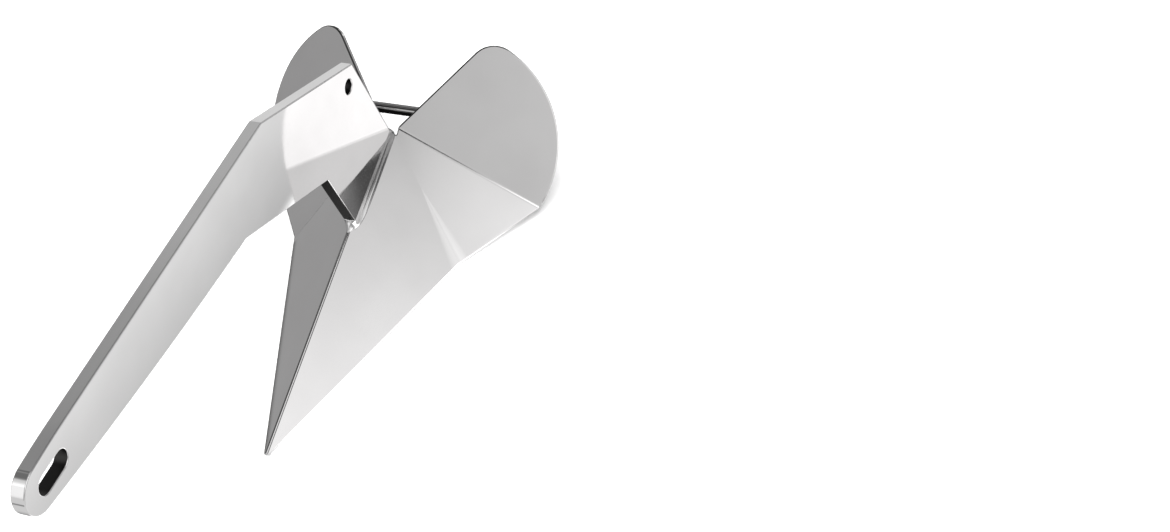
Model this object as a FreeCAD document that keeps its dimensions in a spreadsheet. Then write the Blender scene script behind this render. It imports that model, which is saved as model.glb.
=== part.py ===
import FreeCAD, Part
import os
import Sketcher

# Plough anchor: one folded fluke plate, a thick plate shank welded along its ridge, a round tie
# bar between the two rear lobes and a solid wedge under the tip.
# Frame: +X forward (tip and eye), +Y to port, +Z up. It stands level on the two front edges of
# the fluke, with the middle of its footprint at the origin.

doc = FreeCAD.newDocument("PloughAnchor")
sheet = doc.addObject("Spreadsheet::Sheet", "dims")

sizes = [
    # fluke plate, measured in the flat blank from the rear apex
    ("apex_back", 261.3), ("plate_thick", 5.0), ("ridge_length", 360.0), ("ridge_round", 3.5),
    ("tip_halfwidth", 2.9), ("front_roll", 38.9), ("notch_halfwidth", 9.6),
    ("creaseone_angle", 47.9), ("creaseone_length", 157.2), ("creaseone_bend", 14.3),
    ("creasetwo_angle", 35.4), ("creasetwo_length", 173.9), ("creasetwo_bend", 20.2),
    ("lobe_angle", 73.0), ("lobe_setback", 10.1), ("lobe_radius", 115.4), ("lobe_offset", 7.2),
    ("lobe_corner", 26.9),
    # shank plate, measured along the ridge and square to it
    ("shank_thick", 12.0), ("foot_back", 8.2), ("foot_front", 115.0), ("foot_depth", 12.0),
    ("heel_along", 14.7), ("heel_rise", 124.6), ("knee_along", 153.5), ("knee_rise", 235.9),
    ("throat_along", 119.8), ("throat_rise", 86.8), ("elbow_along", 238.8), ("elbow_rise", 186.8),
    ("eye_along", 524.8), ("eye_rise", 326.4), ("eye_radius", 21.0), ("eye_run", 48.3),
    ("brow_radius", 700.0), ("under_radius", 4000.0), ("shank_bevel", 2.0), ("hole_bevel", 0.8),
    # slot, set back from the middle of the eye, and trip hole, set in from the heel
    ("slot_back", 4.5), ("slot_sink", 2.8), ("slot_length", 39.0), ("slot_width", 17.5),
    ("slot_tilt", 17.0), ("trip_inset", 19.3), ("trip_drop", 9.7), ("trip_bore", 14.6),
    # tie bar, from the apex along the ridge and square to it
    ("bar_bore", 10.8), ("bar_back", 34.7), ("bar_drop", 30.4), ("collar_thick", 3.0),
    # wedge under the tip
    ("wedge_length", 150.0), ("wedge_recess", 2.0),
    # welds round the foot
    ("weld_height", 5.6), ("weld_flare", 3.6), ("toe_reach", 13.0), ("toe_wide", 1.0),
    ("toe_narrow", 0.16), ("heel_reach", 3.5), ("heel_lap", 2.5), ("heel_wide", 0.7),
    ("heel_narrow", 0.48),
]
for row, (name, value) in enumerate(sizes, start=1):
    sheet.set("A%d" % row, name)
    sheet.set("B%d" % row, str(value))
    sheet.setAlias("B%d" % row, name)
doc.recompute()
size = dict(sizes)


def bind(obj, **links):
    # tie each property to an expression, where @ stands for the sheet
    for prop, text in links.items():
        obj.setExpression(prop.replace("__", "."), text.replace("@", "dims."))


def turn(axis, angle, x="0", y="0", z="0"):
    # a move to x, y, z with a turn about one axis
    return "placement(vector(%s; %s; %s); rotation(vector(%s); %s))" % (x, y, z, axis, angle)


alongX, alongY, alongZ = "1; 0; 0", "0; 1; 0", "0; 0; 1"


def far(radius, angle, x=0.0, y=0.0):
    # the point at a distance and a direction in degrees from x, y
    spot = FreeCAD.Rotation(FreeCAD.Vector(0, 0, 1), angle).multVec(FreeCAD.Vector(radius, 0, 0))
    return x + spot.x, y + spot.y


def heading(start, end):
    # direction in degrees from one point to another
    way = FreeCAD.Vector(end[0] - start[0], end[1] - start[1], 0)
    return FreeCAD.Rotation(FreeCAD.Vector(1, 0, 0), way).toEuler()[0]


class Outline:
    # a closed sketch whose sizes are named constraints tied to the sheet

    def __init__(self, name, body=None):
        if body is None:
            self.sketch = doc.addObject("Sketcher::SketchObject", name)
        else:
            self.sketch = body.newObject("Sketcher::SketchObject", name)

    def line(self, start, end):
        a, b = FreeCAD.Vector(*start, 0), FreeCAD.Vector(*end, 0)
        return self.sketch.addGeometry(Part.LineSegment(a, b))

    def path(self, points, closed=True):
        # straight lines from point to point, joined at their ends
        pairs = list(zip(points, points[1:] + points[:1] if closed else points[1:]))
        lines = [self.line(*pair) for pair in pairs]
        for first, second in zip(lines, lines[1:] + lines[:1] if closed else lines[1:]):
            self.fix("Coincident", first, 2, second, 1)
        return lines

    def arc(self, centre, radius, first, last):
        circle = Part.Circle(FreeCAD.Vector(*centre, 0), FreeCAD.Vector(0, 0, 1), radius)
        rad = FreeCAD.Units.Quantity("1 deg").getValueAs("rad").Value
        return self.sketch.addGeometry(Part.ArcOfCircle(circle, first * rad, last * rad))

    def fix(self, *args):
        return self.sketch.addConstraint(Sketcher.Constraint(*args))

    def size(self, name, text, kind, *args):
        # a dimension whose value follows an expression
        text = text.replace("@", "dims.")
        value = self.sketch.evalExpression(text)
        value = value.getValueAs("rad").Value if kind == "Angle" else float(value)
        number = self.fix(kind, *args, value)
        self.sketch.renameConstraint(number, name)
        self.sketch.setExpression("Constraints." + name, text)


def plate(name, outline, thick):
    # a flat plate below its outline
    solid = doc.addObject("Part::Extrusion", name)
    solid.Base, solid.DirMode, solid.Solid, solid.Reversed = outline.sketch, "Normal", True, True
    bind(solid, LengthFwd=thick)
    return solid


def join(name, *pieces):
    fuse = doc.addObject("Part::MultiFuse", name)
    fuse.Shapes, fuse.Refine = list(pieces), True
    return fuse


def cut(name, base, *tools):
    # take each tool away in turn; the last result carries the name
    for number, tool in enumerate(tools, start=1):
        last = doc.addObject("Part::Cut", name if number == len(tools) else "%s_trim%d" % (name, number))
        last.Base, last.Tool, last.Refine = base, tool, True
        base = last
    return base


def common(name, first, second):
    both = doc.addObject("Part::Common", name)
    both.Base, both.Tool, both.Refine = first, second, True
    return both


def mirror(name, source):
    other = doc.addObject("Part::Mirroring", name)
    other.Source, other.Normal = source, FreeCAD.Vector(0, 1, 0)
    return other


# The ridge line carries every other frame. Its dip lays the two front edges level on the floor.
frontSpan = "(@creaseone_length * sin(@creaseone_angle) - @tip_halfwidth) * sin(@front_roll)"
dip = "atan(%s / (@ridge_length - @creaseone_length * cos(@creaseone_angle)))" % frontSpan
edgeDrop = "(@tip_halfwidth * sin(@front_roll) + @plate_thick * cos(@front_roll))"
apexRise = "@ridge_length * sin(%s) + %s * cos(%s)" % (dip, edgeDrop, dip)
ridge = doc.addObject("Part::Line", "ridge_line")
ridge.X1, ridge.Y1, ridge.Z1, ridge.Y2, ridge.Z2 = 0, 0, 0, 0, 0
bind(ridge, X2="@ridge_length", Placement=turn(alongY, dip, x="-@apex_back", z=apexRise))

# Fluke, port half: each facet lies in its own plane, turned about the crease before it.
front = Outline("front_outline")
creaseOneEnd = far(size["creaseone_length"], size["creaseone_angle"])
lines = front.path([(0, 0), (size["ridge_length"], 0), (size["ridge_length"], size["tip_halfwidth"]),
                    creaseOneEnd])
front.fix("Coincident", lines[0], 1, -1, 1)
front.fix("Horizontal", lines[0])
front.fix("Vertical", lines[1])
front.size("ridge", "@ridge_length", "Distance", lines[0])
front.size("tip", "@tip_halfwidth", "Distance", lines[1])
front.size("crease", "@creaseone_length", "Distance", lines[3])
front.size("fan", "@creaseone_angle * 1 deg", "Angle", lines[0], 1, lines[3], 2)
bind(front.sketch, Placement="ridge_line.Placement * " + turn(alongX, "-@front_roll"))

middle = Outline("middle_outline")
creaseTwoEnd = far(size["creasetwo_length"], size["creasetwo_angle"])
lines = middle.path([(0, 0), (size["creaseone_length"], 0), creaseTwoEnd])
middle.fix("Coincident", lines[0], 1, -1, 1)
middle.fix("Horizontal", lines[0])
middle.size("crease", "@creaseone_length", "Distance", lines[0])
middle.size("reach", "@creasetwo_length", "Distance", lines[2])
middle.size("fan", "@creasetwo_angle * 1 deg", "Angle", lines[0], 1, lines[2], 2)
foldOne = turn(alongZ, "@creaseone_angle") + " * " + turn(alongX, "@creaseone_bend")
bind(middle.sketch, Placement="front_outline.Placement * " + foldOne)

lobe = Outline("lobe_outline")
wide, small, fan = size["lobe_radius"], size["lobe_corner"], size["lobe_angle"]
rearFoot = far(size["lobe_setback"], fan - 90)
rim = (size["creasetwo_length"] - wide, size["lobe_offset"])
bulge = far(small, fan - 90, *far(wide, fan, *rearFoot))
root = lobe.line((size["lobe_setback"], 0), (size["creasetwo_length"], 0))
sweep = lobe.arc(rim, wide, heading(rim, (size["creasetwo_length"], 0)), heading(rim, bulge))
corner = lobe.arc(bulge, small, heading(rim, bulge), fan + 90)
rear = lobe.line(far(wide, fan, *rearFoot), (size["lobe_setback"], 0))
lobe.fix("PointOnObject", root, 1, -1)
lobe.fix("PointOnObject", root, 2, -1)
lobe.fix("Coincident", root, 2, sweep, 1)
lobe.fix("Tangent", sweep, 2, corner, 1)
lobe.fix("Tangent", corner, 2, rear, 1)
lobe.fix("Coincident", rear, 2, root, 1)
lobe.size("crease", "@creasetwo_length", "DistanceX", -1, 1, root, 2)
lobe.size("setback", "@lobe_setback", "Distance", -1, 1, rear)
lobe.size("sweep", "@lobe_radius", "Radius", sweep)
lobe.size("lift", "@lobe_offset", "DistanceY", -1, 1, sweep, 3)
lobe.size("corner", "@lobe_corner", "Radius", corner)
lobe.size("fan", "@lobe_angle * 1 deg", "Angle", root, 1, rear, 2)
foldTwo = turn(alongZ, "@creasetwo_angle") + " * " + turn(alongX, "@creasetwo_bend")
bind(lobe.sketch, Placement="middle_outline.Placement * " + foldTwo)

facets = [plate("front_facet", front, "@plate_thick"), plate("middle_facet", middle, "@plate_thick"),
          plate("lobe_facet", lobe, "@plate_thick")]


def bend(name, outline, angle, length, opening):
    # the rounded outside of a crease, between two facets
    wedge = doc.addObject("Part::Cylinder", name)
    bind(wedge, Radius="@plate_thick", Height=length, Angle=opening,
         Placement=outline + ".Placement * " + turn(alongZ, angle) + " * " + turn(alongY, "90"))
    return wedge


creases = [bend("crease_one", "front_outline", "@creaseone_angle", "@creaseone_length", "@creaseone_bend"),
           bend("crease_two", "middle_outline", "@creasetwo_angle", "@creasetwo_length", "@creasetwo_bend")]
portHalf = join("fluke_port", *facets, *creases)
folded = join("fluke_folded", portHalf, mirror("fluke_starboard", portHalf))

# A notch at the rear apex takes the heel of the shank and its weld.
notch = doc.addObject("Part::Box", "apex_notch")
bind(notch, Length="@creaseone_length", Width="2 * @notch_halfwidth", Height="@creaseone_length",
     Placement="ridge_line.Placement * " + turn(alongX, "0", x="@foot_back - @creaseone_length",
                                                y="-@notch_halfwidth", z="-@creaseone_length / 2"))
notched = cut("fluke_notched", folded, notch)
doc.recompute()


def ridgeEdges(shape):
    # straight edges that lie on the centre plane on top of the fold
    start, along = ridge.Placement.Base, ridge.Placement.Rotation.multVec(FreeCAD.Vector(1, 0, 0))
    found = []
    for number, edge in enumerate(shape.Edges, start=1):
        ends = [v.Point for v in edge.Vertexes]
        off = [((p - start) - along * (p - start).dot(along)).Length for p in ends]
        if len(ends) == 2 and max(off) < 0.01 and edge.Length > size["ridge_length"] / 2:
            found.append("Edge%d" % number)
    return found


fluke = doc.addObject("PartDesign::Body", "fluke")
fluke.BaseFeature = notched
doc.recompute()
crown = fluke.newObject("PartDesign::Fillet", "ridge_crown")
crown.Base = (fluke.Group[0], ridgeEdges(fluke.Group[0].Shape))
bind(crown, Radius="@ridge_round")
fluke.Tip = crown
doc.recompute()


def underFold(name, crest):
    # a long prism under the ridge, with its two roof faces parallel to the front facets
    section = Outline(name + "_section")
    wide = size["creaseone_length"]
    lines = section.path([(0, -size["plate_thick"]), (-wide, -wide), (wide, -wide)])
    section.fix("PointOnObject", lines[0], 1, -2)
    section.fix("Symmetric", lines[1], 1, lines[1], 2, -2)
    section.size("crest", crest, "DistanceY", lines[0], 1, -1, 1)
    section.size("slope", "@front_roll * 1 deg", "Angle", lines[2])
    section.size("deep", "@creaseone_length", "DistanceY", lines[1], 1, -1, 1)
    bind(section.sketch, Placement="ridge_line.Placement * placement(vector(-@creaseone_length; 0; 0); "
         "rotation(vector(1; 1; 1); 120))")
    prism = doc.addObject("Part::Extrusion", name)
    prism.Base, prism.DirMode, prism.Solid = section.sketch, "Normal", True
    bind(prism, LengthFwd="@ridge_length + @creaseone_length")
    return prism


# The hollow below the plate holds the wedge; the foot of the shank ends inside the plate's thickness.
hollow = underFold("fluke_hollow", "@plate_thick / cos(@front_roll)")
footRoom = underFold("foot_room", "@plate_thick / 2 / cos(@front_roll)")

# Shank plate, in the plane of the ridge.
shankBody = doc.addObject("PartDesign::Body", "shank_plate")
bind(shankBody, Placement="ridge_line.Placement")


def uprightPlane(body):
    return [f for f in body.Origin.OriginFeatures if f.Role == "XZ_Plane"][0]


def upright(name, body):
    # a sketch in the plane of the ridge: along the ridge, and square to it
    outline = Outline(name, body)
    outline.sketch.AttachmentSupport = (uprightPlane(body), "")
    outline.sketch.MapMode = "FlatFace"
    return outline


side = upright("shank_outline", shankBody)
heel, knee, throatTop, elbow, eye = [(size[name + "_along"], size[name + "_rise"])
                                     for name in ("heel", "knee", "throat", "elbow", "eye")]
noseRadius, browRadius, underRadius = size["eye_radius"], size["brow_radius"], size["under_radius"]
topWay, underWay = heading(knee, eye), heading(elbow, eye)
browStart = far(size["eye_run"], topWay + 150, *eye)
footFront, footBack = (size["foot_front"], -size["foot_depth"]), (size["foot_back"], -size["foot_depth"])
slant, throat, foot, heelEdge, backEdge, topEdge = side.path(
    [elbow, throatTop, footFront, footBack, heel, knee, browStart], closed=False)
brow = side.arc(far(noseRadius - browRadius, topWay + 88, *eye), browRadius, topWay + 88, topWay + 92)
nose = side.arc(eye, noseRadius, underWay - 90, topWay + 88)
under = side.arc(far(underRadius - noseRadius, underWay + 92, *eye), underRadius, underWay - 92, underWay - 88)
side.fix("Tangent", topEdge, 2, brow, 2)
side.fix("Tangent", brow, 1, nose, 2)
side.fix("Tangent", nose, 1, under, 2)
side.fix("Coincident", under, 1, slant, 1)
side.fix("Horizontal", foot)
corners = {"heel": (heelEdge, 2), "knee": (backEdge, 2), "elbow": (slant, 1), "throat": (throat, 1),
           "eye": (nose, 3)}
for name, (edge, point) in corners.items():
    side.size(name + "Along", "@%s_along" % name, "DistanceX", -1, 1, edge, point)
    side.size(name + "Rise", "@%s_rise" % name, "DistanceY", -1, 1, edge, point)
side.size("footBack", "@foot_back", "DistanceX", -1, 1, heelEdge, 1)
side.size("footFront", "@foot_front", "DistanceX", -1, 1, throat, 2)
side.size("footDepth", "@foot_depth", "DistanceY", heelEdge, 1, -1, 1)
side.size("brow", "@brow_radius", "Radius", brow)
side.size("run", "@eye_run", "Distance", brow, 2, nose, 3)
side.size("nose", "@eye_radius", "Radius", nose)
side.size("under", "@under_radius", "Radius", under)
slab = shankBody.newObject("PartDesign::Pad", "shank_slab")
slab.Profile, slab.SideType = side.sketch, "Symmetric"
bind(slab, Length="@shank_thick")
doc.recompute()


def rimEdges(shape, keep):
    # edges on the two broad faces of the plate that pass the test
    half = shape.BoundBox.YMax - 0.001
    return ["Edge%d" % number for number, edge in enumerate(shape.Edges, start=1)
            if min(abs(v.Y) for v in edge.Vertexes) > half and keep(edge)]


def ease(name, base, edges, width):
    soft = shankBody.newObject("PartDesign::Chamfer", name)
    soft.Base = (base, edges)
    bind(soft, Size=width)
    doc.recompute()
    return soft


lowest = slab.Shape.BoundBox.ZMin + 0.001
outer = ease("shank_edges", slab, rimEdges(slab.Shape, lambda e: e.BoundBox.ZMax > lowest), "@shank_bevel")

slot = upright("slot_outline", shankBody)
slotRadius, slotWay = size["slot_width"] / 2, size["slot_tilt"]
slotTip = (size["eye_along"] - size["slot_back"], size["eye_rise"] - size["slot_sink"])
slotTail = far(size["slot_width"] - size["slot_length"], slotWay, *slotTip)
tip = slot.arc(slotTip, slotRadius, slotWay - 90, slotWay + 90)
tail = slot.arc(slotTail, slotRadius, slotWay + 90, slotWay + 270)
upper = slot.line(far(slotRadius, slotWay + 90, *slotTip), far(slotRadius, slotWay + 90, *slotTail))
lower = slot.line(far(slotRadius, slotWay - 90, *slotTail), far(slotRadius, slotWay - 90, *slotTip))
slot.fix("Tangent", tip, 2, upper, 1)
slot.fix("Tangent", upper, 2, tail, 1)
slot.fix("Tangent", tail, 2, lower, 1)
slot.fix("Tangent", lower, 2, tip, 1)
slot.fix("Equal", tip, tail)
slot.size("along", "@eye_along - @slot_back", "DistanceX", -1, 1, tip, 3)
slot.size("rise", "@eye_rise - @slot_sink", "DistanceY", -1, 1, tip, 3)
slot.size("round", "@slot_width / 2", "Radius", tip)
slot.size("run", "@slot_length - @slot_width", "Distance", lower)
slot.size("tilt", "@slot_tilt * 1 deg", "Angle", lower)
trip = upright("trip_outline", shankBody)
tripSpot = (size["heel_along"] + size["trip_inset"], size["heel_rise"] - size["trip_drop"])
ring = trip.sketch.addGeometry(Part.Circle(FreeCAD.Vector(*tripSpot, 0), FreeCAD.Vector(0, 0, 1),
                                           size["trip_bore"] / 2))
trip.size("along", "@heel_along + @trip_inset", "DistanceX", -1, 1, ring, 3)
trip.size("rise", "@heel_rise - @trip_drop", "DistanceY", -1, 1, ring, 3)
trip.size("bore", "@trip_bore", "Diameter", ring)
bored = outer
for name, outline in (("shackle_slot", slot), ("trip_hole", trip)):
    before = bored.Shape.Volume
    bored = shankBody.newObject("PartDesign::Pocket", name)
    bored.Profile, bored.Type, bored.SideType = outline.sketch, "ThroughAll", "Symmetric"
    doc.recompute()
    assert bored.Shape.Volume < before, name + " cuts nothing"


def inHole(edge):
    # edges of the slot and of the trip hole: each lies within half a length of the middle of its hole
    middleSlot = far((size["slot_width"] - size["slot_length"]) / 2, slotWay, *slotTip)
    for spot, reach in ((middleSlot, size["slot_length"] / 2), (tripSpot, size["trip_bore"] / 2)):
        centre = FreeCAD.Vector(spot[0], 0, spot[1])
        ends = [FreeCAD.Vector(v.X, 0, v.Z) for v in edge.Vertexes]
        if max((end - centre).Length for end in ends) < reach + 0.01:
            return True
    return False


shankBody.Tip = ease("hole_edges", bored, rimEdges(bored.Shape, inHole), "@hole_bevel")
doc.recompute()
shank = cut("shank", shankBody, fluke, footRoom)

# Long fillet welds: concave, tall on the shank and narrow on the fluke.
bead = Outline("weld_section")
half, top, flare = size["shank_thick"] / 2, size["weld_height"], size["weld_flare"]
low = -4 * size["plate_thick"]
inner, base, toe = bead.path([(half, top), (half, low), (half + flare, low), (half + flare, -top)], closed=False)
face = bead.arc((half + 4 * top, top), 4 * top, 180, 205)
bead.fix("Coincident", toe, 2, face, 2)
bead.fix("Coincident", face, 1, inner, 1)
bead.fix("Vertical", inner)
bead.fix("Horizontal", base)
bead.fix("Vertical", toe)
bead.fix("Horizontal", face, 3, face, 1)
bead.size("side", "@shank_thick / 2", "DistanceX", -1, 1, inner, 1)
bead.size("top", "@weld_height", "DistanceY", -1, 1, inner, 1)
bead.size("flare", "@weld_flare", "Distance", base)
bead.size("root", "@plate_thick * 4", "DistanceY", base, 1, -1, 1)
bead.size("toe", "(@shank_thick / 2 + @weld_flare) * tan(@front_roll)", "DistanceY", toe, 2, -1, 1)
bind(bead.sketch, Placement="ridge_line.Placement * placement(vector(@foot_back; 0; 0); "
     "rotation(vector(1; 1; 1); 120))")
beadBar = doc.addObject("Part::Extrusion", "weld_bar")
beadBar.Base, beadBar.DirMode, beadBar.Solid = bead.sketch, "Normal", True
bind(beadBar, LengthFwd="@foot_front - @foot_back")
weldPort = cut("weld_port", beadBar, fluke, footRoom)
weldStarboard = mirror("weld_starboard", weldPort)


# The bead turns round both ends of the foot as a blunt cone about a line below the ridge. Its
# mouth goes through the top of the weld and through the weld's toe on the fold.
reach = "(@shank_thick / 2 + @weld_flare)"
fall = "(%s * tan(@front_roll))" % reach
sink = "((%s ^ 2 + %s ^ 2 - @weld_height ^ 2) / (2 * (%s + @weld_height)))" % (reach, fall, fall)
mouth = "(@weld_height + %s)" % sink


def blunt(name, start, way, length, wide, narrow):
    cone = doc.addObject("Part::Cone", name)
    bind(cone, Radius1="%s * %s" % (mouth, wide), Radius2="%s * %s" % (mouth, narrow), Height=length,
         Placement="ridge_line.Placement * " + turn(alongY, way, x=start, z="-" + sink))
    return cone


toeCone = blunt("toe_cone", "@foot_front", "90", "@toe_reach", "@toe_wide", "@toe_narrow")
heelCone = blunt("heel_cone", "@foot_back + @heel_lap", "-90", "@heel_reach + @heel_lap", "@heel_wide",
                 "@heel_narrow")
weldToe = cut("weld_toe", toeCone, shank, fluke, footRoom, weldPort, weldStarboard)
weldHeel = cut("weld_heel", heelCone, shank, fluke, footRoom, weldPort, weldStarboard)

# Tie bar: half of it ends on the inner face of the port lobe, and is mirrored.
rod = doc.addObject("Part::Cylinder", "bar_rod")
barPlace = "ridge_line.Placement * " + turn(alongX, "-90", x="-@bar_back", z="-@bar_drop")
bind(rod, Radius="@bar_bore / 2", Height="@lobe_radius * 2", Placement=barPlace)
sleeve = doc.addObject("Part::Cylinder", "bar_sleeve")
bind(sleeve, Radius="@bar_bore / 2 + @collar_thick", Height="@lobe_radius * 2", Placement=barPlace)


def underLobe(name, depth):
    # a block whose top is the inner face of the port lobe
    block = doc.addObject("Part::Box", name)
    bind(block, Length="@lobe_radius * 4", Width="@lobe_radius * 4", Height=depth,
         Placement="lobe_outline.Placement * " + turn(alongX, "0", x="-@lobe_radius * 2",
                                                      y="-@lobe_radius * 2",
                                                      z="-(%s) - @plate_thick" % depth))
    return block


portRod = common("bar_port", rod, underLobe("lobe_inside", "@lobe_radius * 3"))
bar = join("cross_bar", portRod, mirror("bar_starboard", portRod))
collar = common("bar_collar", sleeve, underLobe("collar_layer", "@collar_thick"))
barWeldPort = cut("bar_weld_port", collar, rod)
barWeldStarboard = mirror("bar_weld_starboard", barWeldPort)

# Solid wedge under the tip, between the two front facets and just clear of the floor.
room = doc.addObject("Part::Box", "wedge_room")
bind(room, Length="@wedge_length * 2", Width="@ridge_length", Height="@ridge_length",
     Placement="ridge_line.Placement * " + turn(alongX, "0", x="@ridge_length - @wedge_length",
                                                y="-@ridge_length / 2", z="-@ridge_length"))
floor = doc.addObject("Part::Box", "wedge_floor")
bind(floor, Length="@ridge_length * 3", Width="@ridge_length", Height="@ridge_length",
     Placement=turn(alongX, "0", x="-@ridge_length", y="-@ridge_length / 2",
                    z="@wedge_recess - @ridge_length"))
ballast = cut("tip_ballast", common("wedge_block", hollow, room), floor)
doc.recompute()

nodes = {"shank": shank, "fluke": fluke, "cross_bar": bar, "tip_ballast": ballast,
         "weld_port": weldPort, "weld_starboard": weldStarboard, "weld_toe": weldToe,
         "weld_heel": weldHeel, "bar_weld_port": barWeldPort, "bar_weld_starboard": barWeldStarboard}
for obj in doc.Objects:
    assert not {"Invalid", "Error"} & set(obj.State), obj.Label + " failed: " + str(obj.State)
for name, obj in nodes.items():
    obj.Label = name
    assert not obj.Shape.isNull() and obj.Shape.isValid(), name + " has no valid shape"
    print(name, "solids", len(obj.Shape.Solids), "volume", round(obj.Shape.Volume, 1))
os.makedirs("parts", exist_ok=True)
for name, obj in nodes.items():
    obj.Shape.exportStep("parts/%s.step" % name)
print("wrote", len(nodes), "parts")
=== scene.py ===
import math

import bmesh
import bpy
from mathutils import Matrix, Vector
from mathutils.geometry import tessellate_polygon


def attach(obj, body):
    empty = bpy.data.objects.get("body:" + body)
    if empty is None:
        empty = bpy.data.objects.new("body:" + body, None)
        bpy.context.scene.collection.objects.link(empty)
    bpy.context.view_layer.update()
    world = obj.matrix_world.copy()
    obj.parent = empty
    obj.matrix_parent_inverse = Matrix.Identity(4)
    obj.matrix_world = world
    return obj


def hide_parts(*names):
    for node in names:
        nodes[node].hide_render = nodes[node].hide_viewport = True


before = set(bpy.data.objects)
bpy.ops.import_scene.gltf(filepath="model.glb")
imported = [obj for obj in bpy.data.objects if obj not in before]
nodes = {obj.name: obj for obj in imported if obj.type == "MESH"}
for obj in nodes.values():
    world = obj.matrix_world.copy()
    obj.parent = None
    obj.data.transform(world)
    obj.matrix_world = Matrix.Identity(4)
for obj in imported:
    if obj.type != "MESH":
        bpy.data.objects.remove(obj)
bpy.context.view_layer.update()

scene = bpy.context.scene
print("anchor loaded:", ", ".join(sorted(nodes)))


class Wiring:
    # adds nodes to a tree from left to right and links them by socket name
    def __init__(self, tree):
        self.tree = tree
        self.tree.nodes.clear()
        self.column = 0

    def add(self, kind, **values):
        node = self.tree.nodes.new(kind)
        node.location = (self.column * 190, -(self.column % 3) * 160)
        self.column += 1
        for key, value in values.items():
            if key in node.inputs.keys():
                self.put(node.inputs[key], value)
            else:
                setattr(node, key, value)
        return node

    def put(self, socket, value):
        if isinstance(value, bpy.types.NodeSocket):
            self.tree.links.new(value, socket)
        else:
            socket.default_value = value

    def math(self, operation, first, second=0.0):
        node = self.add("ShaderNodeMath", operation=operation)
        self.put(node.inputs[0], first)
        self.put(node.inputs[1], second)
        return node.outputs[0]

    def plus(self, first, second):
        return self.math("ADD", first, second)

    def minus(self, first, second):
        return self.math("SUBTRACT", first, second)

    def times(self, first, second):
        return self.math("MULTIPLY", first, second)

    def larger(self, first, second):
        return self.math("MAXIMUM", first, second)

    def above(self, value, limit):
        return self.math("GREATER_THAN", value, limit)

    def below(self, value, limit):
        return self.math("LESS_THAN", value, limit)

    def unsigned(self, value):
        return self.math("ABSOLUTE", value)

    def longSide(self, first, second):
        # the long side of a right triangle with these two as its others
        return self.math("SQRT", self.plus(self.times(first, first), self.times(second, second)))

    def span(self, value, low, high, first=0.0, last=1.0, smooth=True):
        # value from low to high becomes first to last
        node = self.add("ShaderNodeMapRange", interpolation_type="SMOOTHSTEP" if smooth else "LINEAR")
        for name, number in (("Value", value), ("From Min", low), ("From Max", high),
                             ("To Min", first), ("To Max", last)):
            self.put(node.inputs[name], number)
        return node.outputs[0]

    def dot(self, vector, direction):
        node = self.add("ShaderNodeVectorMath", operation="DOT_PRODUCT")
        self.put(node.inputs[0], vector)
        node.inputs[1].default_value = direction
        return node.outputs["Value"]

    def distance(self, vector, spot=(0.0, 0.0, 0.0)):
        node = self.add("ShaderNodeVectorMath", operation="DISTANCE")
        self.put(node.inputs[0], vector)
        node.inputs[1].default_value = spot
        return node.outputs["Value"]

    def parts(self, vector):
        return self.add("ShaderNodeSeparateXYZ", Vector=vector).outputs

    def noise(self, vector, scale, detail, rough):
        node = self.add("ShaderNodeTexNoise", Scale=scale, Detail=detail, Roughness=rough)
        self.put(node.inputs["Vector"], vector)
        return node.outputs[0]

    def stretched(self, vector, scale, turn):
        node = self.add("ShaderNodeMapping")
        self.put(node.inputs["Vector"], vector)
        node.inputs["Scale"].default_value = scale
        node.inputs["Rotation"].default_value = [math.radians(angle) for angle in turn]
        return node.outputs[0]

    def bump(self, height, depth, strength=1.0, normal=None):
        node = self.add("ShaderNodeBump", Strength=strength, Distance=depth, Height=height)
        if normal is not None:
            self.put(node.inputs["Normal"], normal)
        return node.outputs[0]

    def mix(self, factor, first, second):
        node = self.add("ShaderNodeMix", data_type="FLOAT")
        for socket, value in zip(node.inputs[:1] + node.inputs[2:4], (factor, first, second)):
            self.put(socket, value)
        return node.outputs[0]

    def blend(self, factor, first, second):
        node = self.add("ShaderNodeMix", data_type="RGBA")
        self.put(node.inputs[0], factor)
        for socket, colour in ((node.inputs[6], first), (node.inputs[7], second)):
            self.put(socket, colour if isinstance(colour, bpy.types.NodeSocket) else (*colour, 1))
        return node.outputs[2]


def newMaterial(name):
    material = bpy.data.materials.new(name)
    material.use_nodes = True
    return material, Wiring(material.node_tree)


def newPiece(name, verts, faces):
    # a new smooth mesh in the scene
    mesh = bpy.data.meshes.new(name)
    mesh.from_pydata(verts, [], faces)
    mesh.validate()
    for face in mesh.polygons:
        face.use_smooth = True
    piece = bpy.data.objects.new(name, mesh)
    scene.collection.objects.link(piece)
    return piece


def turned(angle):
    # cosine and sine of an angle in degrees
    return math.cos(math.radians(angle)), math.sin(math.radians(angle))


# camera
cameraLook = {"place": (0.92191, 0.70546, 1.25484), "forward": (-0.64162, -0.28017, -0.71402),
              "up": (-0.70563, -0.14931, 0.69267), "lens": 55.11, "sensor": 36, "near": 0.01, "far": 60}
cameraData = bpy.data.cameras.new("studioCamera")
cameraData.lens, cameraData.sensor_width = cameraLook["lens"], cameraLook["sensor"]
cameraData.sensor_fit = "HORIZONTAL"
cameraData.clip_start, cameraData.clip_end = cameraLook["near"], cameraLook["far"]
camera = bpy.data.objects.new("studioCamera", cameraData)
scene.collection.objects.link(camera)
forward = Vector(cameraLook["forward"]).normalized()
side = forward.cross(Vector(cameraLook["up"])).normalized()
turn = Matrix((side, side.cross(forward), -forward)).transposed()
camera.matrix_world = Matrix.Translation(cameraLook["place"]) @ turn.to_4x4()
scene.camera = camera
scene.view_settings.view_transform = "Standard"
scene.view_settings.look = "None"
print("camera set")

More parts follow.
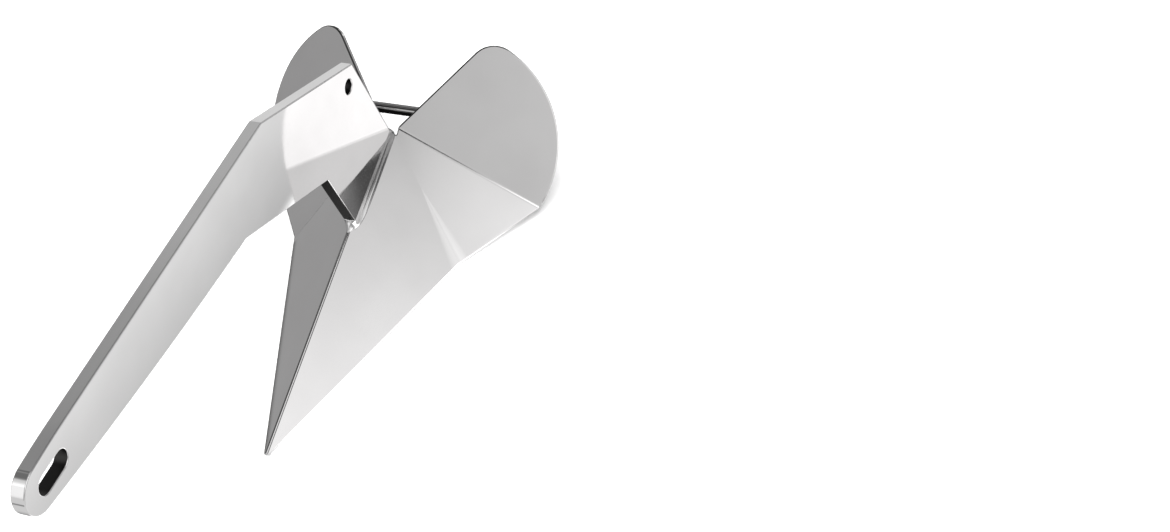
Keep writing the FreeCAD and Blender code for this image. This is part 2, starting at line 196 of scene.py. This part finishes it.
# a tent of soft light, seen mostly as what the polished steel mirrors
tentLook = {"base": 0.39, "darkest": 0.02, "colour": (1.0, 1.0, 1.0, 1), "cards": [
    # azimuth from the tip to port, height, full within, gone beyond (degrees), brightness added
    (81.5, 30, 0, 34, 0.97), (81.5, 50, 6, 7, 0.11),                             # large soft box to port
    (69, 7.5, 4, 16, 0.70), (102.5, 11, 1, 7, 0.26), (87.5, 13, 2, 8, 0.21),     # its bright foot
    (132, 28, 5, 12, 1.15), (163, 4, 2, 8, 0.86),                                # strips on the shank's edges
    (39, 32, 3, 17, 0.32), (25.5, 59.5, 12, 20, 0.61),                           # front of the tent
    (54.5, 44, 2, 7, 0.97), (45, 50, 3, 7, -1.0), (47, 41.5, 2, 5, 0.5),         # strips and gap for the lobe
    (-38, 21.5, 12, 33, 0.80), (-52, 47, 6, 14, 0.45), (-90, 59, 6, 14, -0.20),  # soft box past the eye
    (167, 85, 7, 18, 0.71), (-84, 68, 1, 7, 0.51),                               # openings overhead
    (-145.5, 33.5, 1, 10, 0.14), (-130.5, 48.5, 1, 9, -0.08),                    # shading on the shank's top
    # dark seams of the tent
    (102, 62, 3, 15, -0.36), (-104, 40, 4, 16, -0.33), (-102, 71, 3, 11, -0.36), (-120.5, 56, 1, 6, -0.27),
    (172, 52, 4, 14, -0.40), (125, 2, 3, 13, -0.24), (-123.5, 15, 6, 17, -0.29), (-178, 9, 3, 8, -0.30),
    (-153, 55.5, 7, 16, -0.30), (143, 50, 5, 13, -0.29)]}


def toward(azimuth, height):
    # unit vector to a card
    (c, s), (level, rise) = turned(azimuth), turned(height)
    return Vector((c * level, s * level, rise))


world = bpy.data.worlds.new("studioTent")
world.use_nodes = True
scene.world = world
tent = Wiring(world.node_tree)
direction = tent.add("ShaderNodeTexCoord").outputs["Generated"]
brightness = tentLook["base"]
for azimuth, height, inner, outer, amount in tentLook["cards"]:
    facing = tent.dot(direction, toward(azimuth, height))
    card = tent.span(facing, turned(outer)[0], turned(inner)[0], 0.0, amount)
    brightness = tent.plus(brightness, card)
background = tent.add("ShaderNodeBackground", Strength=tent.larger(brightness, tentLook["darkest"]))
background.inputs["Color"].default_value = tentLook["colour"]
tent.add("ShaderNodeOutputWorld", Surface=background.outputs[0])

# pale floor: plain and matt to the eye; only in the steel's reflections it glows, with painted light and
# shade laid out in zones, though it is no lamp
floorLook = {"size": 40.0, "level": -0.0003, "light": (0.9, 0.9, 0.9), "shade": (0.885, 0.885, 0.885),
             "rough": 0.6, "grain": (60, 4, 0.5), "grainSpan": (0.3, 0.7),
             # the painted glow of the floor to port, from near to edge: distances out (m), then brightness
             "port": (0.10, 0.24, 0.5, 1.0),
             # each zone takes over between two distances (m): start, full, brightness, and for some the
             # side of the anchor that it keeps to, from start to full
             "portFar": (0.30, 0.42, 0.26, None), "underRim": (0.138, 0.115, 2.4, None),
             "starboard": (0.03, -0.03, 0.40, None), "besideRim": (0.045, 0.015, 0.06, (0.01, -0.01)),
             "behind": (-0.45, -0.52, 0.1, None), "ahead": (0.30, 0.5, 0.8, None),
             "seam": (0.12, 0.05, 0.35, (-0.2, -0.3)), "far": (2.2, 3.2, 0.8, None),
             "seamReach": 0.89,
             # the starboard rim of the fluke: where it crosses the middle, and the direction out from it
             "rimStart": 0.085, "rimOut": (0.321, 0.947)}
bpy.ops.mesh.primitive_plane_add(size=floorLook["size"], location=(0, 0, floorLook["level"]))
floor = bpy.context.object
floor.name = "paleFloor"
floorPaint, wires = newMaterial("paleFloorPaint")
place = wires.add("ShaderNodeNewGeometry").outputs["Position"]
grain = wires.span(wires.noise(place, *floorLook["grain"]), *floorLook["grainSpan"])
matt = wires.add("ShaderNodeBsdfDiffuse", Color=wires.blend(grain, floorLook["shade"], floorLook["light"]),
                 Roughness=floorLook["rough"])
along, across, _ = wires.parts(place)
rimAlong, rimAcross = floorLook["rimOut"]
pastRim = wires.minus(wires.times(wires.minus(along, floorLook["rimStart"]), rimAlong),
                      wires.times(across, rimAcross))
reach = wires.distance(place)
fromSeam = wires.unsigned(wires.minus(reach, floorLook["seamReach"]))
glow = wires.span(across, *floorLook["port"], smooth=False)
for zone, distance in (("portFar", across), ("underRim", across), ("starboard", across),
                       ("besideRim", pastRim), ("behind", along), ("ahead", along),
                       ("seam", fromSeam), ("far", reach)):
    start, full, zoneGlow, zoneSide = floorLook[zone]
    within = wires.span(distance, start, full)
    if zoneSide:
        within = wires.times(within, wires.span(across, *zoneSide))
    glow = wires.mix(within, glow, zoneGlow)
# painted light: an emission that only glossy rays see
paintedGlow = wires.add("ShaderNodeEmission", Strength=glow)
rays = wires.add("ShaderNodeLightPath")
mixed = wires.add("ShaderNodeMixShader", Fac=rays.outputs["Is Glossy Ray"])
wires.put(mixed.inputs[1], matt.outputs[0])
wires.put(mixed.inputs[2], paintedGlow.outputs[0])
wires.add("ShaderNodeOutputMaterial", Surface=mixed.outputs[0])
floor.data.materials.append(floorPaint)

overheadLook = {"size": 2.6, "power": 112.0, "place": (0.4, 0.3, 2.4)}
overheadData = bpy.data.lights.new("overheadSoftBox", "AREA")
overheadData.shape = "SQUARE"
overheadData.size, overheadData.energy = overheadLook["size"], overheadLook["power"]
overhead = bpy.data.objects.new("overheadSoftBox", overheadData)
overhead.location = overheadLook["place"]
overhead.visible_glossy = False
scene.collection.objects.link(overhead)
print("studio set")

# what all the finishes share: detail and roughness of each noise, and where it takes hold
steelLook = {"cloudNoise": (3.0, 0.55), "cloudSpan": (0.3, 0.7),
             "lineNoise": (1.0, 3.0, 0.6), "lineSpan": (0.35, 0.65), "lineRoughSpan": (0.4, 0.7),
             "lineDepth": 0.0002, "waveNoise": (1.0, 0.4)}


def polishedSteel(name, look, marks=None, foldHeight=None):
    # mirror polished stainless: broad cloudiness, a faint wave in the plate, and fine buffing lines.
    # marks returns where shade is painted dark into the colour, foldHeight the shape of a rolled fold in
    # metres
    material, wires = newMaterial(name)
    place = wires.add("ShaderNodeTexCoord").outputs["Object"]
    clouds = wires.noise(place, look["cloudScale"], *steelLook["cloudNoise"])
    lines = wires.stretched(place, look["lineStretch"], look["lineTurn"])
    lines = wires.noise(lines, *steelLook["lineNoise"])
    colour = wires.blend(wires.span(clouds, *steelLook["cloudSpan"]), look["dark"], look["light"])
    streaks = wires.span(lines, *steelLook["lineSpan"], 0.0, look["lineColour"])
    colour = wires.blend(streaks, colour, look["dark"])
    rough = wires.span(clouds, *steelLook["cloudSpan"], look["smoothest"], look["roughest"])
    rough = wires.plus(rough, wires.span(lines, *steelLook["lineRoughSpan"], 0.0, look["lineRough"]))
    if marks:
        paintedShadeMask = marks(wires, place)
        colour = wires.blend(paintedShadeMask, colour, look["paintedShadeColour"])
        rough = wires.mix(paintedShadeMask, rough, look["paintedShadeRough"])
    normal = wires.bump(wires.noise(place, look["waveScale"], *steelLook["waveNoise"]), look["waveDepth"])
    normal = wires.bump(lines, steelLook["lineDepth"], look["lineBump"], normal)
    if foldHeight:
        normal = wires.bump(foldHeight(wires, place), 1.0, 1.0, normal)
    steel = wires.add("ShaderNodeBsdfPrincipled", Metallic=1.0)
    wires.put(steel.inputs["Base Color"], colour)
    wires.put(steel.inputs["Roughness"], rough)
    wires.put(steel.inputs["Normal"], normal)
    wires.add("ShaderNodeOutputMaterial", Surface=steel.outputs[0])
    return material


def dress(nodeName, *materials):
    # gives a solid of the frame its finishes
    piece = nodes[nodeName]
    piece.data.materials.clear()
    for material in materials:
        piece.data.materials.append(material)
    return piece


def newGroup(name):
    group = bpy.data.node_groups.new(name, "GeometryNodeTree")
    group.is_modifier = True
    for way in ("INPUT", "OUTPUT"):
        group.interface.new_socket("Geometry", in_out=way, socket_type="NodeSocketGeometry")
    wires = Wiring(group)
    return group, wires, wires.add("NodeGroupInput").outputs[0]


def endGroup(group, wires, last):
    end = wires.add("NodeGroupOutput")
    wires.put(end.inputs[0], last.outputs[0])
    return group


def joinedFaces(look):
    # joins the faces of a solid at their shared edges
    group, wires, start = newGroup("joinedFaces")
    joined = wires.add("GeometryNodeMergeByDistance", Geometry=start, Distance=look["join"])
    return endGroup(group, wires, joined)


def roundedEdges(look):
    # marks the edges that the polishing has rounded, all the sharp ones short of the very tip
    group, wires, start = newGroup("roundedEdges")
    angle = wires.add("GeometryNodeInputMeshEdgeAngle").outputs["Unsigned Angle"]
    sharp = wires.above(angle, math.radians(look["edgeFrom"]))
    place = wires.parts(wires.add("GeometryNodeInputPosition").outputs[0])
    marked = wires.times(sharp, wires.below(place[0], look["edgeTo"]))
    kept = wires.add("GeometryNodeStoreNamedAttribute", data_type="FLOAT", domain="EDGE", Geometry=start,
                     Name="bevel_weight_edge")
    wires.put([socket for socket in kept.inputs if socket.name == "Value" and socket.enabled][0], marked)
    return endGroup(group, wires, kept)


def foldEdges(look):
    # smooth faces, kept apart along the folds between two angles and at the sharpest corners
    group, wires, start = newGroup("foldEdges")
    joined = wires.add("GeometryNodeMergeByDistance", Geometry=start, Distance=look["rejoin"])
    smooth = wires.add("GeometryNodeSetShadeSmooth", domain="FACE", Geometry=joined.outputs[0])
    smooth.inputs["Shade Smooth"].default_value = True
    angle = wires.add("GeometryNodeInputMeshEdgeAngle").outputs["Unsigned Angle"]
    above = wires.above(angle, math.radians(look["foldFrom"]))
    below = wires.below(angle, math.radians(look["foldTo"]))
    corner = wires.above(angle, math.radians(look["cornerFrom"]))
    rolled = wires.minus(1.0, wires.larger(wires.times(above, below), corner))
    folds = wires.add("GeometryNodeSetShadeSmooth", domain="EDGE", Geometry=smooth.outputs[0])
    wires.put(folds.inputs["Shade Smooth"], rolled)
    return endGroup(group, wires, folds)


def ease(piece, look):
    # a fine rounding along the sharp edges, as polishing leaves it, with flat faces kept flat
    piece.modifiers.new("joinedFaces", "NODES").node_group = joinedFaces(look)
    whole = piece.modifiers.new("wholeFaces", "DECIMATE")
    whole.decimate_type, whole.angle_limit = "DISSOLVE", math.radians(look["flatTo"])
    piece.modifiers.new("roundedEdges", "NODES").node_group = roundedEdges(look)
    bevel = piece.modifiers.new("polishedEdge", "BEVEL")
    bevel.width, bevel.segments, bevel.limit_method = look["edge"], look["edgeSteps"], "WEIGHT"
    bevel.use_clamp_overlap = False
    bevel.miter_outer = "MITER_ARC"
    bevel.material = 1
    piece.modifiers.new("foldEdges", "NODES").node_group = foldEdges(look)
    flat = piece.modifiers.new("flatFaces", "WEIGHTED_NORMAL")
    flat.mode, flat.keep_sharp = "FACE_AREA", True
    flat.weight, flat.thresh = look["faceWeight"], look["sameArea"]


flukeLook = {"dark": (0.715, 0.706, 0.706), "light": (0.765, 0.757, 0.757), "cloudScale": 9.0,
             "smoothest": 0.05, "roughest": 0.09, "lineStretch": (40, 900, 900), "lineTurn": (0, 15, 0),
             "lineRough": 0.02, "lineColour": 0.12, "lineBump": 0.02, "waveScale": 6.0, "waveDepth": 0.0003,
             # rounding of the rims (m), the edges that get it (degrees) and how far toward the tip
             "edge": 0.0013, "edgeSteps": 3, "edgeFrom": 35, "edgeTo": 0.079,
             # angles between faces: taken as flat, folds that stay sharp, corners that stay sharp
             "flatTo": 0.3, "foldFrom": 11, "foldTo": 24, "cornerFrom": 62,
             "join": 0.00001, "rejoin": 0.00002, "faceWeight": 100, "sameArea": 0.0000005,
             # rims: buffed a little duller, and painted shade makes them darker round the notch (from, to,
             # share) and to starboard
             "rimRoughest": 0.12, "paintedShadeColour": (0.04, 0.04, 0.04), "paintedShadeRough": 0.2,
             "notch": (-0.2614, 0.0, 0.097), "notchDark": (0.16, 0.12, 0.0, 0.95),
             "starboardFrom": -0.004, "starboardDark": 0.62,
             # each crease: inner end, outer end, the normals on both sides, half its angle, its width at
             # both ends, and the share of its length where it starts to widen
             "creases": [((-0.25494, 0.00706, 0.09503), (-0.17961, 0.09077, 0.00375),
                          (0.21, 0.628, 0.749), (0.408, 0.48, 0.777), 7.15, 0.00005, 0.011, 0.42),
                         ((-0.26143, 0.0096, 0.09687), (-0.26324, 0.14841, 0.01211),
                          (0.408, 0.48, 0.777), (0.698, 0.38, 0.607), 10.1, 0.0026, 0.0026, 0.0)]}


def rolledCreases(wires, place):
    # height of the soft radius in both creases, the same to port and starboard
    x, y, z = wires.parts(place)
    portPlace = wires.add("ShaderNodeCombineXYZ", X=x, Y=wires.unsigned(y), Z=z).outputs[0]
    total = 0.0
    for start, end, before, after, halfAngle, narrow, wide, begin in flukeLook["creases"]:
        start, end = Vector(start), Vector(end)
        length = (end - start).length
        run = (end - start) / length
        over = run.cross(Vector(before) + Vector(after)).normalized()
        far = wires.unsigned(wires.minus(wires.dot(portPlace, over), start.dot(over)))
        along = wires.minus(wires.dot(portPlace, run), start.dot(run))
        width = wires.span(along, length * begin, length, narrow, wide, smooth=False)
        inside = wires.larger(wires.minus(width, far), 0.0)
        rise = wires.math("DIVIDE", wires.times(inside, inside), wires.times(width, 2.0))
        total = wires.plus(total, wires.times(rise, math.tan(math.radians(halfAngle))))
    return total


def rimPaintedShade(wires, place):
    # painted shade: the rims are painted darker round the notch and along the starboard side
    nearNotch = wires.span(wires.distance(place, flukeLook["notch"]), *flukeLook["notchDark"])
    starboard = wires.below(wires.parts(place)[1], flukeLook["starboardFrom"])
    return wires.larger(nearNotch, wires.times(starboard, flukeLook["starboardDark"]))


rimLook = {**flukeLook, "roughest": flukeLook["rimRoughest"]}
fluke = dress("fluke", polishedSteel("fluke_steel_polished", flukeLook, foldHeight=rolledCreases),
              polishedSteel("fluke_edge_buffed_painted_shade", rimLook, marks=rimPaintedShade))
ease(fluke, flukeLook)
print("fluke dressed")

shankLook = {"dark": (0.72, 0.715, 0.715), "light": (0.775, 0.77, 0.77), "cloudScale": 8.0,
             "smoothest": 0.025, "roughest": 0.045, "lineStretch": (50, 900, 900), "lineTurn": (0, -18, 0),
             "lineRough": 0.015, "lineColour": 0.1, "lineBump": 0.015, "waveScale": 5.0, "waveDepth": 0.0002,
             # the apex of the fluke (m) and how far the ridge dips toward the tip (degrees)
             "apex": (-0.2613, 0.10273), "dip": 15.67,
             # the plate along the ridge from the apex and square to it (mm): corners, and arcs by centre,
             # radius, first and last angle
             "thick": 12.0, "corner": 1.5, "cornerSteps": 5, "rounding": 1.0, "roundingSteps": 5,
             "outline": [(8.5, -5.2), (14.7, 124.6), (153.5, 235.9), (682.57, -334.02, 700.0, 107.05, 103.44),
                         (524.8, 326.4, 21.0, 103.44, -65.48), (-1126.41, 3946.62, 4000.0, -65.48, -70.04),
                         (119.8, 86.8), (115.3, -5.2)],
             "slot": [(520.3, 323.6, 8.75, -73, 107), (499.74, 317.31, 8.75, 107, 287)],
             "tripHole": [(34.0, 114.9, 7.3, 0, 360)],
             "arcTurn": 5, "longRadius": 100, "longArcTurn": 0.5, "touching": 0.1,
             # where shade is painted dark into the plate (m): the slot by its middle and half its straight
             # part, the hole by its middle, the throat and the heel's edge by distances along the ridge and
             # over it
             "paintedShadeColour": (0.045, 0.044, 0.043), "paintedShadeRough": 0.38,
             "slotMiddle": (0.31632, 0.27353), "slotHalf": 0.01075, "slotNear": 0.0115,
             "hole": (-0.19753, 0.20418), "holeNear": 0.0087, "boreFacing": 0.3,
             "throatFrom": 0.1128, "throatTo": 0.1206, "throatTop": 0.0885, "throatFacing": 0.76,
             "heelLean": 0.0477, "heelTo": 0.0102, "heelTop": 0.1242, "heelDark": 0.8}


def paintedShadeFaces(wires, place):
    # painted shade in the bores and on the throat, and a painted dark reflection at the heel's edge; the rest
    # is polished
    look = shankLook
    x, _, z = wires.parts(place)
    facing = wires.parts(wires.add("ShaderNodeNewGeometry").outputs["True Normal"])
    sideways = wires.unsigned(facing[1])
    slotX, slotZ = look["slotMiddle"]
    pastSlot = wires.larger(wires.minus(wires.unsigned(wires.minus(x, slotX)), look["slotHalf"]), 0.0)
    fromSlot = wires.longSide(pastSlot, wires.minus(z, slotZ))
    holeX, holeZ = look["hole"]
    fromHole = wires.longSide(wires.minus(x, holeX), wires.minus(z, holeZ))
    bores = wires.larger(wires.below(fromSlot, look["slotNear"]), wires.below(fromHole, look["holeNear"]))
    bores = wires.times(bores, wires.below(sideways, look["boreFacing"]))
    c, s = turned(look["dip"])
    apexX, apexZ = look["apex"]
    across, up = wires.minus(x, apexX), wires.minus(z, apexZ)
    along = wires.minus(wires.times(across, c), wires.times(up, s))
    height = wires.plus(wires.times(across, s), wires.times(up, c))
    throat = wires.times(wires.above(along, look["throatFrom"]), wires.below(along, look["throatTo"]))
    throat = wires.times(throat, wires.below(height, look["throatTop"]))
    throat = wires.times(throat, wires.below(sideways, look["throatFacing"]))
    heel = wires.below(wires.minus(along, wires.times(height, look["heelLean"])), look["heelTo"])
    heel = wires.times(heel, wires.below(height, look["heelTop"]))
    return wires.larger(wires.larger(bores, throat), wires.times(heel, look["heelDark"]))


def fromRidge(along, out, rise):
    # a point given along the ridge from the apex, out to port and square to the ridge (mm)
    c, s = turned(shankLook["dip"])
    x = shankLook["apex"][0] * 1000 + along * c + rise * s
    z = shankLook["apex"][1] * 1000 - along * s + rise * c
    return Vector((x, out, z)) / 1000


def onArc(along, rise, radius, angle, way=1):
    # a point on an arc, and the direction out of the metal there
    c, s = turned(angle)
    return (along + radius * c, rise + radius * s), (way * c, way * s)


def arcPoints(along, rise, radius, first, last, look):
    # an arc in short runs, finer on the long radii
    way = 1 if last < first else -1
    turn = look["arcTurn"] if radius < look["longRadius"] else look["longArcTurn"]
    count = math.ceil(abs(last - first) / turn)
    return [onArc(along, rise, radius, first + (last - first) * k / count, way) for k in range(count + 1)]


def cornerPoints(before, corner, after, look):
    # a corner turned with a small radius
    def unit(first, last):
        return (last[0] - first[0]) / math.dist(first, last), (last[1] - first[1]) / math.dist(first, last)

    into, out = unit(before, corner), unit(corner, after)
    turn = math.degrees(math.atan2(into[0] * out[1] - into[1] * out[0], into[0] * out[0] + into[1] * out[1]))
    way = 1 if turn < 0 else -1    # outward or inward corner
    radius, steps = look["corner"], look["cornerSteps"]
    back = radius * math.tan(math.radians(abs(turn) / 2))
    side = (-into[1] * way, into[0] * way)
    middle = [corner[i] - into[i] * back - side[i] * radius for i in (0, 1)]
    start = math.degrees(math.atan2(side[1], side[0]))
    return [onArc(*middle, radius, start + turn * k / steps, way) for k in range(steps + 1)]


def ringPoints(ring, look):
    # points round a ring of corners and arcs, with the direction out of the metal at each
    ends = []    # first and last point of each step
    for step in ring:
        ends.append((step, step) if len(step) == 2 else [onArc(*step[:3], angle)[0] for angle in step[3:]])
    points = []
    for i, step in enumerate(ring):
        if len(step) == 2:
            points += cornerPoints(ends[i - 1][1], step, ends[(i + 1) % len(ring)][0], look)
            continue
        run = arcPoints(*step, look)
        follows = points and math.dist(points[-1][0], run[0][0]) < look["touching"]
        points += run[1:] if follows else run
    if math.dist(points[0][0], points[-1][0]) < look["touching"]:
        points.pop()
    return points


def shankPlate(look):
    # the shank as one cut plate with its slot and hole, its edges rounded by the polishing
    half, soft, steps = look["thick"] / 2, look["rounding"], look["roundingSteps"]
    turns = [90 - 90 * k / steps for k in range(steps + 1)]
    rows = [(angle, 1) for angle in turns] + [(angle, -1) for angle in reversed(turns)]    # port to starboard
    verts, normals, faces, rims = [], [], [], []
    for name in ("outline", "slot", "tripHole"):
        ring = ringPoints(look[name], look)
        first, count = len(verts), len(ring)
        for angle, way in rows:
            c, s = turned(angle)
            inset = soft * (1 - c)
            for (along, rise), (outAlong, outRise) in ring:
                verts.append(fromRidge(along - outAlong * inset, way * (half - soft + soft * s),
                                       rise - outRise * inset))
                outward = fromRidge(outAlong * c, way * s, outRise * c) - fromRidge(0, 0, 0)
                normals.append(outward.normalized())
        for row in range(len(rows) - 1):
            for k in range(count):
                a, b = first + row * count + k, first + row * count + (k + 1) % count
                faces.append((a, b, b + count, a + count))
        rims.append([range(start, start + count) for start in (first, len(verts) - count)])
    for side in (0, 1):    # the two flat faces, with the slot and the hole left open
        numbers = [number for rim in rims for number in rim[side]]
        flat = [[Vector((verts[number].x, verts[number].z, 0)) for number in rim[side]] for rim in rims]
        faces += [[numbers[corner] for corner in corners] for corners in tessellate_polygon(flat)]
    piece = newPiece("shankPlate", verts, faces)
    work = bmesh.new()
    work.from_mesh(piece.data)
    bmesh.ops.recalc_face_normals(work, faces=work.faces)
    work.to_mesh(piece.data)
    work.free()
    piece.data.normals_split_custom_set_from_vertices(normals)
    return piece


plate = shankPlate(shankLook)
plate.data.materials.append(polishedSteel("shank_steel_polished", shankLook, marks=paintedShadeFaces))
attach(plate, "root")
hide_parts("shank")
print("shank plate built")

# the bar is the same polished steel, its colour painted darker as painted shade
barLook = {"dark": (0.38, 0.375, 0.375), "light": (0.46, 0.455, 0.455), "cloudScale": 14.0,
           "smoothest": 0.06, "roughest": 0.12, "lineStretch": (900, 40, 900), "lineTurn": (0, 0, 0),
           "lineRough": 0.03, "lineColour": 0.2, "lineBump": 0.03, "waveScale": 12.0, "waveDepth": 0.0002,
           "paintedShadeColour": (0.05, 0.05, 0.05), "paintedShadeRough": 0.15,
           # the painted shade on the side and the painted dark reflection streak: the way they face, and
           # where they start and are full
           "sideFacing": (0.616, 0.0, -0.788), "sideSpan": (-0.05, 0.12),
           "streakFacing": (0.5, 0.0, 0.866), "streakSpan": (0.988, 0.997)}


def barShade(wires, place):
    # painted shade on the side toward the fluke and a painted dark reflection as a streak above it, as in a
    # bar that mirrors the lobes
    normal = wires.add("ShaderNodeNewGeometry").outputs["Normal"]
    inner = wires.span(wires.dot(normal, barLook["sideFacing"]), *barLook["sideSpan"])
    streak = wires.span(wires.dot(normal, barLook["streakFacing"]), *barLook["streakSpan"])
    return wires.larger(inner, streak)


dress("cross_bar", polishedSteel("bar_steel_polished_painted_shade", barLook, marks=barShade))
print("bar dressed")

weldLook = {"dark": (0.68, 0.675, 0.675), "light": (0.78, 0.775, 0.775), "cloudScale": 60.0,
            "smoothest": 0.05, "roughest": 0.1, "lineStretch": (60, 500, 500), "lineTurn": (0, 15, 0),
            "lineRough": 0.03, "lineColour": 0.15, "lineBump": 0.05, "waveScale": 30.0, "waveDepth": 0.0002,
            # along the ridge from the apex and out from its middle (mm): the line on the shank and its height
            # over the ridge, then the line on the fluke
            "stations": [(8.9, 0.0, 3.0, 4.6, 0.0), (8.9, 3.0, 3.0, 4.9, 3.6), (9.0, 5.4, 3.1, 6.2, 7.4),
                         (9.8, 6.0, 3.2, 9.0, 8.9), (14.0, 6.0, 3.7, 14.0, 9.3), (30.0, 6.0, 4.4, 30.0, 9.4),
                         (50.0, 6.0, 5.0, 50.0, 9.5), (75.0, 6.0, 5.6, 75.0, 9.5),
                         (94.0, 6.0, 6.0, 95.0, 9.1), (104.0, 6.0, 6.2, 105.5, 8.5),
                         (111.0, 6.0, 6.5, 113.0, 7.4), (114.8, 6.0, 6.8, 118.0, 5.9),
                         (115.8, 5.2, 6.6, 122.0, 3.9),
                         (115.9, 2.6, 6.0, 125.5, 1.9), (115.9, 0.0, 5.6, 127.5, 0.0)],
            "between": 5, "arc": 8,
            # the fluke under the bead: how steeply it falls away (degrees) and the radius of its fold (mm)
            "roll": 38.9, "bend": 3.5,
            # ripples of the hand weld (mm) by share, turn for each row and start, and the toe's share of them
            "wobble": 0.12, "ripples": [(1.0, 1.7, 0.0), (0.6, 0.71, 2.0)], "toeWobble": 0.02,
            # how hollow the bead is, its middle and half the shank's foot, and how far the hidden edges reach
            # into the shank and the fluke
            "hollow": 0.62, "middle": 60.0, "footHalf": 6.0, "tuck": 0.35, "deepTuck": 3, "sink": 0.3,
            "deepSink": 1.5}


def weldBead(look):
    # one bead round the foot of the shank, concave between its line on the shank and its line on the fluke
    c, s = turned(look["roll"])
    slope = math.tan(math.radians(look["roll"]))

    def fall(out):
        # height of the fluke over the ridge, lower in the middle, where the fold is rounded
        if abs(out) < look["bend"] * s:
            return math.sqrt(look["bend"] ** 2 - out ** 2) - look["bend"] / c
        return -abs(out) * slope

    def curve(a, b, c, d, t):
        # a smooth run from b to c
        return tuple(0.5 * (2 * q + (r - p) * t + (2 * p - 5 * q + 4 * r - w) * t * t
                            + (3 * q - p - 3 * r + w) * t ** 3) for p, q, r, w in zip(a, b, c, d))

    port = look["stations"]
    starboard = [(a, -y, h, b, -w) for a, y, h, b, w in port[-2:0:-1]]
    ring = port + starboard
    rows = []
    for i in range(len(ring)):
        four = [ring[(i + k) % len(ring)] for k in (-1, 0, 1, 2)]
        rows += [curve(*four, t / look["between"]) for t in range(look["between"])]
    verts, faces = [], []
    count, steps = len(rows), look["arc"] + 2
    for i, (topAlong, topOut, topRise, toeAlong, toeOut) in enumerate(rows):
        uneven = sum(share * math.sin(i * turn + start) for share, turn, start in look["ripples"])
        uneven *= look["wobble"]
        toeOut *= 1 + look["toeWobble"] * uneven
        top = Vector((topAlong, topOut, topRise + uneven))
        toe = Vector((toeAlong, toeOut, fall(toeOut)))
        root = Vector((topAlong, topOut, fall(topOut)))
        inward = Vector((max(-1, min(1, look["middle"] - root.x)), -topOut / look["footHalf"], 0))
        inward *= look["tuck"]
        pull = root * look["hollow"] + (top + toe) * ((1 - look["hollow"]) / 2)
        bend = [k / look["arc"] for k in range(look["arc"] + 1)]
        row = [top * (1 - t) ** 2 + pull * 2 * t * (1 - t) + toe * t * t for t in bend]
        row[0] = row[0] + inward
        row[-1] = row[-1] - Vector((0, 0, look["sink"]))
        verts += row + [root + inward * look["deepTuck"] - Vector((0, 0, look["deepSink"]))]
        here, following = i * steps, (i + 1) % count * steps
        for k in range(steps):
            beside = (k + 1) % steps
            faces.append((following + k, following + beside, here + beside, here + k))
    return newPiece("footWeld", [fromRidge(*vert) for vert in verts], faces)


weldSteel = polishedSteel("weld_steel_polished", weldLook)
bead = weldBead(weldLook)
bead.data.materials.append(weldSteel)
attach(bead, "root")
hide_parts("weld_port", "weld_starboard", "weld_toe", "weld_heel")
for name in ("bar_weld_port", "bar_weld_starboard"):
    dress(name, weldSteel)
print("welds built")

wedgeLook = {"dark": (0.42, 0.42, 0.42), "light": (0.55, 0.55, 0.56), "cloudScale": 30.0,
             "smoothest": 0.35, "roughest": 0.5, "lineStretch": (60, 60, 60), "lineTurn": (0, 0, 0),
             "lineRough": 0.08, "lineColour": 0.3, "lineBump": 0.2, "waveScale": 40.0, "waveDepth": 0.0006}
dress("tip_ballast", polishedSteel("ballast_steel_plain", wedgeLook))
print("finishes set")
